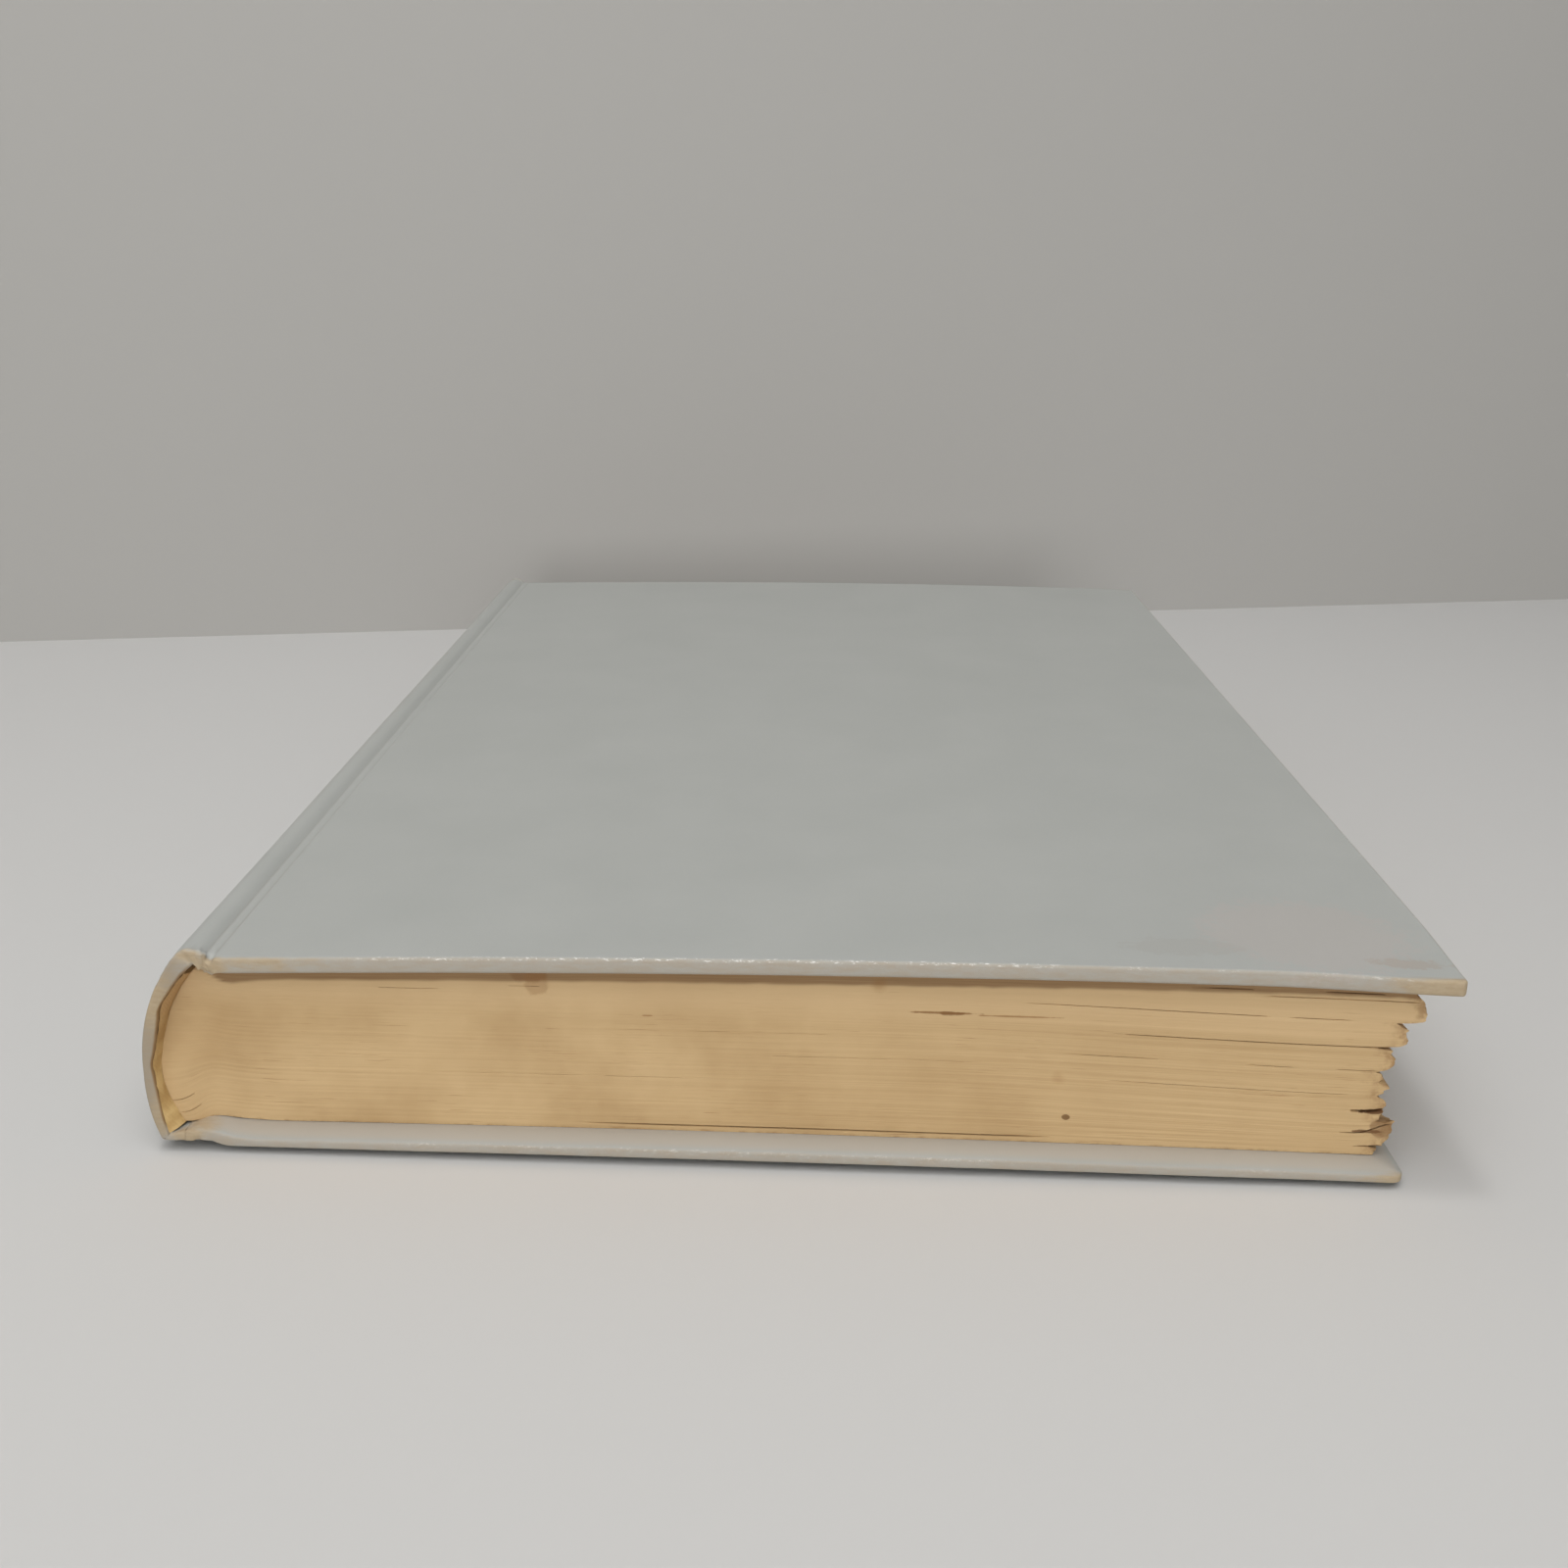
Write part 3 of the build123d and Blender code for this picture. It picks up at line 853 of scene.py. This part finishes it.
def aged(tree, vector, scale, amount):
    """Mask of the scattered age marks."""
    return node(tree, "Group", {"node_tree": age_spots}, Vector=vector, Scale=scale, Amount=amount).outputs[0]


def woven(tree, vector, scale):
    """Height of the crossing threads."""
    return node(tree, "Group", {"node_tree": thread_weave}, Vector=vector, Scale=scale).outputs[0]


def marked(tree, vector, colour, marks):
    """A colour with single marks over it, each at a place of the section in mm."""
    for x, y, z, size, ragged, strength, stain in marks:
        centre = tuple(c * millimetre for c in (x - middle_x, y, z))
        span = tuple(c * millimetre for c in size)
        mark = node(tree, "Group", {"node_tree": single_mark}, Vector=vector, Centre=centre, Size=span, Ragged=ragged)
        colour = stained(tree, mark.outputs[0], strength, colour, stain)
    return colour


def cover_paper():
    """Pale grey satin covering paper, dulled at its edges and rubbed to its core at corners and joints, with painted
    glints on its rim, painted shade along the joint's creases and painted light on the back cover's margin.
    """
    material, tree, shader, vector = finish_material("cover_paper", 0.5, 0.3)
    tone, height = grained(tree, vector, 5200.0)
    colour = blend_colour(tree, tone, paint(161, 163, 159), paint(177, 178, 174))
    masks = ("rim", "lip", "rub", "margin", "grime", "crease", "glue")
    rim, lip, rub, margin, grime, crease, glue = (attribute(tree, label) for label in masks)

    # Dulled edges and worn places, and painted light on the back cover's margin
    drawn = node(tree, "Mapping", _0=vector, Scale=(0.3, 1.0, 1.0)).outputs[0]
    coarse = figure(tree, "SUBTRACT", noise(tree, drawn, 1300.0, 5.0, 0.65), 0.5)
    uneven = plus(tree, times(tree, ramp(tree, coarse, -0.25, 0.25), 0.4), 0.45)
    colour = stained(tree, ramp(tree, rim, 0.3, 0.9), uneven, colour, (166, 153, 135))
    # Painted light: the back cover's turn-in margin made lighter and warmer, as lit from the leaves beside it
    colour = stained(tree, margin, 0.8, colour, (181, 173, 161))
    colour = stained(tree, grime, 0.6, colour, (150, 133, 108))
    worn = ramp(tree, plus(tree, rub, times(tree, coarse, 0.7)), 0.12, 0.85)
    core = blend_colour(tree, noise(tree, drawn, 2400.0, 4.0), paint(187, 170, 142), paint(160, 138, 106))
    colour = blend_colour(tree, times(tree, worn, 0.9), colour, core)

    # Painted glints on the rim: near-white specks painted as highlights
    reach = node(tree, "SeparateXYZ", _0=vector).outputs["X"]
    bright = times(tree, ramp(tree, reach, -0.042, -0.028), ramp(tree, reach, 0.036, 0.02))
    patches = ramp(tree, plus(tree, noise(tree, vector, 60.0, 2.0), times(tree, bright, 0.25)), 0.44, 0.62)
    patches = times(tree, patches, ramp(tree, reach, -0.058, -0.046))
    streaked = node(tree, "Mapping", _0=vector, Scale=(0.35, 1.0, 1.0)).outputs[0]
    glint = ramp(tree, noise(tree, streaked, 3600.0, 3.0, 0.7), 0.53, 0.66)
    painted_glint = times(tree, times(tree, glint, patches), lip)
    colour = stained(tree, painted_glint, 0.8, colour, (240, 239, 235))
    # Painted shade along the joint's creases
    colour = stained(tree, crease, 0.3, colour, (128, 121, 112))
    colour = stained(tree, glue, 0.9, colour, (142, 110, 68))
    colour = marked(tree, vector, colour, (
        (134.0, 12.0 - case_tail, 27.5, (15.0, 13.0, 4.0), 1.0, 0.35, (180, 169, 163)),
        (144.5, 4.5 - case_tail, 27.5, (5.5, 1.6, 3.0), 1.6, 0.5, (164, 150, 138)),
        (118.0, 7.0 - case_tail, 27.5, (9.0, 3.0, 4.0), 1.5, 0.3, (160, 156, 150)),
    ))
    satin = plus(tree, times(tree, worn, 0.25), times(tree, tone, 0.12))
    tree.links.new(plus(tree, satin, 0.47), shader.inputs["Roughness"])
    rough = times(tree, plus(tree, worn, times(tree, rim, 0.4)), coarse)
    dress(tree, shader, colour, plus(tree, height, times(tree, rough, 2.0)), 0.00008, 0.5)
    return material


def page_edge():
    """Yellowed leaf edges, drawn along each leaf, with painted shadow under the front cover, painted light on the
    upper leaves and painted shade in the fore-edge notches.
    """
    material, tree, shader, vector = finish_material("page_edge", 0.85, 0.25)
    split = node(tree, "SeparateXYZ", _0=vector).outputs
    leaf, overhang_shadow, spread = (attribute(tree, label) for label in ("leaf", "overhang_shadow", "spread"))

    def lines(count, stretch, detail):
        """Noise drawn out along the leaves."""
        x, y = (times(tree, split[axis], stretch) for axis in "XY")
        way = node(tree, "CombineXYZ", X=x, Y=y, Z=times(tree, leaf, count)).outputs[0]
        return noise(tree, way, 1.0, detail, 0.6)

    fine, bands, streaks = lines(260.0, 60.0, 2.0), lines(46.0, 22.0, 3.0), lines(210.0, 170.0, 2.0)
    cloud = noise(tree, vector, 55.0, 4.0)
    ruled = plus(tree, times(tree, fine, 0.45), times(tree, bands, 0.55))
    open_side = plus(tree, times(tree, ramp(tree, split["X"], -0.02, 0.06), 0.55), 0.18)
    tone = node(tree, "Mix", _0=open_side, _2=cloud, _3=ruled).outputs[0]
    colour = blend_colour(tree, ramp(tree, tone, 0.25, 0.75), paint(180, 149, 106), paint(207, 178, 134))
    thin = ramp(tree, noise(tree, vector, 130.0, 2.0), 0.42, 0.62)
    colour = stained(tree, times(tree, ramp(tree, streaks, 0.64, 0.73), thin), 0.6, colour, (146, 106, 64))
    # Painted light: the upper leaves made lighter against the shade of the front cover above them
    colour = stained(tree, ramp(tree, leaf, 0.68, 0.88), 0.55, colour, (216, 186, 143))
    # Painted shadow of the front cover's overhang, dark brown across the top of the leaves' ends
    painted_shadow = times(tree, overhang_shadow, plus(tree, times(tree, fine, 0.5), 0.6))
    colour = stained(tree, painted_shadow, 0.9, colour, (130, 98, 66))
    frayed = times(tree, ramp(tree, spread, 0.983, 1.0), ramp(tree, noise(tree, vector, 900.0, 4.0), 0.35, 0.65))
    frayed = times(tree, frayed, ramp(tree, split["Y"], -0.1115, -0.1138))
    colour = stained(tree, frayed, 0.6, colour, (134, 96, 58))
    colour = marked(tree, vector, colour, (
        (37.3, -leaf_tail, 24.0, (2.7, 2.0, 1.9), 0.5, 0.45, (130, 90, 56)),
        (38.2, -leaf_tail, 22.3, (1.7, 2.0, 1.9), 0.7, 0.35, (150, 108, 66)),
        (88.6, -leaf_tail, 20.0, (4.8, 2.0, 0.2), 0.8, 0.75, (128, 88, 46)),
        (89.4, -leaf_tail, 19.93, (1.9, 2.0, 0.33), 0.8, 0.6, (120, 80, 42)),
        (97.4, -leaf_tail, 19.8, (5.6, 2.0, 0.13), 1.0, 0.65, (140, 98, 54)),
        (104.5, -leaf_tail, 6.2, (0.6, 2.0, 0.45), 0.6, 0.8, (104, 70, 36)),
        (52.0, -leaf_tail, 18.4, (0.9, 2.0, 0.15), 0.9, 0.6, (140, 98, 54)),
        # Painted shade: the next four marks darken the notches and slits between gatherings at the fore-edge
        (142.4, -leaf_tail, 8.3, (1.7, 2.5, 0.4), 1.4, 0.9, (92, 58, 32)),
        (142.3, -leaf_tail, 5.5, (2.2, 2.5, 0.3), 1.2, 0.8, (92, 58, 32)),
        (143.9, -leaf_tail, 6.0, (1.7, 3.0, 1.5), 1.0, 0.55, (116, 80, 48)),
        (143.5, -leaf_tail, 3.45, (1.0, 2.5, 0.25), 0.9, 0.9, (60, 38, 22)),
    ))
    foot = times(tree, ramp(tree, leaf, 0.012, 0.0), ramp(tree, noise(tree, vector, 700.0, 4.0, 0.7), 0.4, 0.75))
    colour = stained(tree, foot, 0.6, colour, (118, 80, 46))
    colour = stained(tree, aged(tree, vector, 70.0, 0.16), 0.35, colour, (150, 106, 58))
    height = plus(tree, times(tree, fine, 0.7), times(tree, bands, 0.5))
    dress(tree, shader, colour, height, 0.00008, 0.24)
    return material


def plain_paper(name, finish, scale, dark, light, relief, spotted):
    """Paper of two tones, with a few age marks where asked for."""
    material, tree, shader, vector = finish_material(name, *finish)
    tone, height = grained(tree, vector, scale)
    colour = blend_colour(tree, tone, paint(*dark), paint(*light))
    if spotted:
        colour = stained(tree, aged(tree, vector, 60.0, 0.2), 0.4, colour, (176, 134, 84))
    dress(tree, shader, colour, height, *relief)
    return material


def band_cloth():
    """Ochre cloth of the bands, with painted shade making it darker towards the front joint."""
    material, tree, shader, vector = finish_material("band_cloth", 0.8, 0.2)
    cloud = noise(tree, vector, 420.0, 3.0)
    # Painted shade: darker ochre towards the top of the band
    high = ramp(tree, node(tree, "SeparateXYZ", _0=vector).outputs["Z"], 0.009, 0.021)
    colour = blend_colour(tree, ramp(tree, cloud, 0.35, 0.65), paint(190, 157, 104), paint(212, 183, 128))
    colour = blend_colour(tree, high, colour, paint(182, 146, 100))
    dress(tree, shader, colour, plus(tree, times(tree, woven(tree, vector, 1500.0), 0.4), cloud), 0.0001, 0.5)
    return material


def open_mull():
    """Starched open cloth on the spine of the leaves."""
    material, tree, shader, vector = finish_material("open_mull", 0.85, 0.2)
    weave = woven(tree, vector, 700.0)
    colour = blend_colour(tree, weave, paint(188, 174, 140), paint(218, 208, 180))
    dress(tree, shader, colour, weave, 0.0001, 0.6)
    return material


# Case: front cover with the spine, and back cover
angles = np.linspace(spine_low_angle, spine_high_angle, spine_stations)
wall_radii = (spine_inner, along(spine_mouth, spine_high_angle))
spine_skin = arc_points(along(spine_outer, angles), angles)
spine_wall = arc_points(np.interp(angles, (spine_wall_angle, spine_high_angle), wall_radii), angles)
spine_end_wall = arc_points(along(spine_mouth, angles), angles)
roll_skin, roll_wall = (smooth_path(line, back_roll_stations)[::-1][:-1] for line in (back_roll, back_roll_throat))
ear_skin, ear_end_skin, ear_wall = (
    smooth_path(line, front_joint_stations)[1:] for line in (front_ear, front_ear_mouth, front_throat)
)
board_reach = np.concatenate([
    (1.0, 2.0, 3.5, 5.0, 7.5), np.linspace(10.0, 140.0, 48),
    (142.5, 145.0, 147.0, 148.5, 149.3, 149.95, front_width),
])
board_skin, board_wall = (front_plane(board_reach, level) for level in (0.0, -cover_thickness))
front_case = case_piece(
    "front_case",
    np.vstack([roll_skin, spine_skin, ear_skin, board_skin]),
    np.vstack([roll_wall, spine_wall, ear_wall, board_wall]),
    np.vstack([roll_skin, spine_skin, ear_end_skin, board_skin]),
    np.vstack([roll_wall, spine_end_wall, ear_wall, board_wall]),
    ((-1.4, 1.5, 3.2, 0.36), (-4.4, 1.6, 2.0, 0.12), (-7.4, 1.0, 2.0, 0.06)),
    (front_rim_round, front_corner_round, 0.0, True), 31,
)


def back_level(reach):
    """Inner face of the back board at a reach."""
    return along(back_inner, reach) + bowed(reach, back_inner_bow)


flat_reach = np.concatenate([
    (1.3, 2.2, 3.4, 5.0, 7.5), np.linspace(10.0, 136.0, 46),
    (139.0, 141.5, 143.0, 143.9, 144.7, 145.3, 145.9, back_reach),
])
back_skin = np.vstack([smooth_path(back_strip, back_joint_stations), join(flat_reach, bowed(flat_reach, back_bow))])
back_wall = np.vstack([smooth_path(back_strip_throat, back_joint_stations), join(flat_reach, back_level(flat_reach))])
back_case = case_piece(
    "back_case", back_skin, back_wall, back_skin, back_wall,
    ((-4.0, 1.4, 2.4, 0.13), (-1.4, 1.4, 2.0, 0.07)),
    (back_rim_round, back_corner_round, back_soft_drop, False), 51,
)

# Leaves and bands
leaves = leaf_block("leaves")
tail_bead = band_piece("tail_bead", -1)
head_bead = band_piece("head_bead", 1)

# Endpapers
paste_rows = spread_rows(leaf_tail - paste_short, 40, (0.0, 3.0, 7.0, 11.0, 11.6, 12.2, 16.0))
fly_rows = spread_rows(leaf_tail - fly_short, 24, (0.0, 3.0, 8.0))
paste_margin = turn_in - pastedown_margin
paste_reach = np.concatenate([np.linspace(2.0, 131.0, 52), np.linspace(133.0, front_width - pastedown_margin, 18)])
paste_path = np.vstack([smooth_path(front_throat[1:], 26), front_plane(paste_reach, -cover_thickness)])
front_paste = sheet_piece("front_paste_sheet", paste_path, paste_rows, -1, paste_margin, drooped)
paste_reach = np.concatenate([np.linspace(1.4, 127.0, 54), np.linspace(129.0, back_reach - pastedown_margin, 18)])
paste_path = np.vstack([smooth_path(back_strip_throat, 30)[1:], join(paste_reach, back_level(paste_reach))])
back_paste = sheet_piece("back_paste_sheet", paste_path, paste_rows, 1, paste_margin)
fly_reach = np.concatenate([np.linspace(-2.2, 4.0, 16), np.linspace(6.0, 145.3, 50)])
fly_path = join(fly_reach, along(leaf_top, fly_reach) + along(top_swell, fly_reach))
front_fly = sheet_piece("front_fly_sheet", fly_path, fly_rows, 1, 0)
fly_reach = np.concatenate([np.linspace(-4.9, 6.0, 26), np.linspace(8.0, 143.0, 50)])
fly_path = join(fly_reach, along(leaf_bottom, fly_reach))
back_fly = sheet_piece("back_fly_sheet", fly_path, fly_rows, -1, 0)

# Finishes: cream endpapers, and brown paper glued over the spine of the leaves
cream = ("aged_sheet", (0.8, 0.25), 3600.0, (206, 192, 160), (226, 214, 186), (0.00005, 0.35), True)
kraft = ("kraft_lining", (0.8, 0.25), 3000.0, (150, 112, 68), (180, 140, 92), (0.00006, 0.4), False)
finishes = {
    cover_paper(): (front_case, back_case),
    page_edge(): (leaves,),
    plain_paper(*cream): (front_paste, back_paste, front_fly, back_fly),
    band_cloth(): (tail_bead, head_bead),
    plain_paper(*kraft): (nodes["spine_lining"],),
    open_mull(): (nodes["mull"],),
}
for material, pieces in finishes.items():
    for piece in pieces:
        piece.data.materials.clear()
        piece.data.materials.append(material)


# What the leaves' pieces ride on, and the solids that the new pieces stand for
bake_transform(front_case)
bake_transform(front_paste)
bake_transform(back_case)
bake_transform(back_paste)
for piece in (leaves, tail_bead, head_bead, front_fly, back_fly):
    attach(piece, "text_block")
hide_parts("front_covering", "front_board", "spine_covering", "spine_card")
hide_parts("back_covering", "back_board")
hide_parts("front_pastedown")
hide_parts("back_pastedown")
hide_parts("front_flyleaf")
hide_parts("back_flyleaf")
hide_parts("text_block")
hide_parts("tail_band")
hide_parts("head_band")


# Stage: a pale table and a plain wall behind it, both clear from the back
def stage_material(name, colour):
    """Plain stage finish that lets the camera look through from behind."""
    material, tree, shader, vector = finish_material(name, 0.7, 0.2)
    tone = noise(tree, vector, 3.0, 2.0)
    shade = tuple(c * 0.97 for c in colour[:3]) + (1.0,)
    tree.links.new(blend_colour(tree, tone, shade, colour), shader.inputs["Base Color"])
    clear = node(tree, "BsdfTransparent")
    behind = node(tree, "NewGeometry").outputs["Backfacing"]
    mixed = node(tree, "MixShader", _0=behind, _1=shader.outputs[0], _2=clear.outputs[0])
    output = next(n for n in tree.nodes if n.type == "OUTPUT_MATERIAL")
    tree.links.new(mixed.outputs[0], output.inputs["Surface"])
    return material


wall_distance = 0.205
wall_turn = math.radians(14.46)
stage_size = 6.0
table_drop = 0.0007
wall_middle = stage_size / 2 - table_drop
stage = (
    ("table", "table_top", (204, 203, 201), (0, 0, -table_drop), (0, 0, 0)),
    ("wall", "wall_paint", (176, 174, 170), (0, wall_distance, wall_middle), (math.pi / 2, 0, wall_turn)),
)
for name, finish, colour, place_at, turned in stage:
    bpy.ops.object.select_all(action="DESELECT")
    bpy.ops.mesh.primitive_plane_add(size=stage_size, location=place_at, rotation=turned)
    plane = bpy.context.object
    plane.name = name
    plane.data.materials.append(stage_material(finish, paint(*colour)))

# Light: a small lamp overhead, a broad one above the near edge and a low one from the front
world = bpy.context.scene.world or bpy.data.worlds.new("studio")
bpy.context.scene.world = world
world.use_nodes = True
background = next(n for n in world.node_tree.nodes if n.type == "BACKGROUND")
background.inputs["Color"].default_value = (1.0, 1.0, 1.0, 1.0)
background.inputs["Strength"].default_value = 0.32
lamps = (
    ("over_lamp", (-0.19, -0.09, 1.1), (0.0, -0.05, 0.0), 0.16, 1.8, 180.0),
    ("broad_lamp", (-0.05, -0.5, 0.7), (0.0, -0.12, 0.0), 0.8, 4.5, 180.0),
    ("front_lamp", (0.05, -2.4, 0.27), (0.0, 0.0, 0.01), 0.5, 0.68, 40.0),
)
for name, place_at, aim, size, power, spread in lamps:
    bpy.ops.object.light_add(type="AREA", location=place_at)
    lamp = bpy.context.object
    lamp.name = name
    lamp.data.shape = "SQUARE"
    lamp.data.size = size
    lamp.data.energy = power
    lamp.data.spread = math.radians(spread)
    lamp.rotation_euler = (Vector(aim) - lamp.location).to_track_quat("-Z", "Y").to_euler()

# Camera at the photograph's angle
camera_place = (0.0005, -0.30672, 0.11079)
camera_yaw = math.radians(0.769)
camera_pitch = math.radians(17.779)
camera_roll = math.radians(1.429)
camera_lens = 39.375
sensor = 36.0
bpy.ops.object.camera_add(location=camera_place)
camera = bpy.context.object
camera.name = "camera"
turns = ((camera_yaw, "Z"), (math.pi / 2 - camera_pitch, "X"), (camera_roll, "Z"))
yaw, pitch, roll = (Matrix.Rotation(angle, 4, axis) for angle, axis in turns)
camera.rotation_euler = (yaw @ pitch @ roll).to_euler()
camera.data.lens = camera_lens
camera.data.sensor_width = sensor
camera.data.clip_start = 0.01
bpy.context.scene.camera = camera
bpy.context.scene.view_settings.view_transform = "Standard"
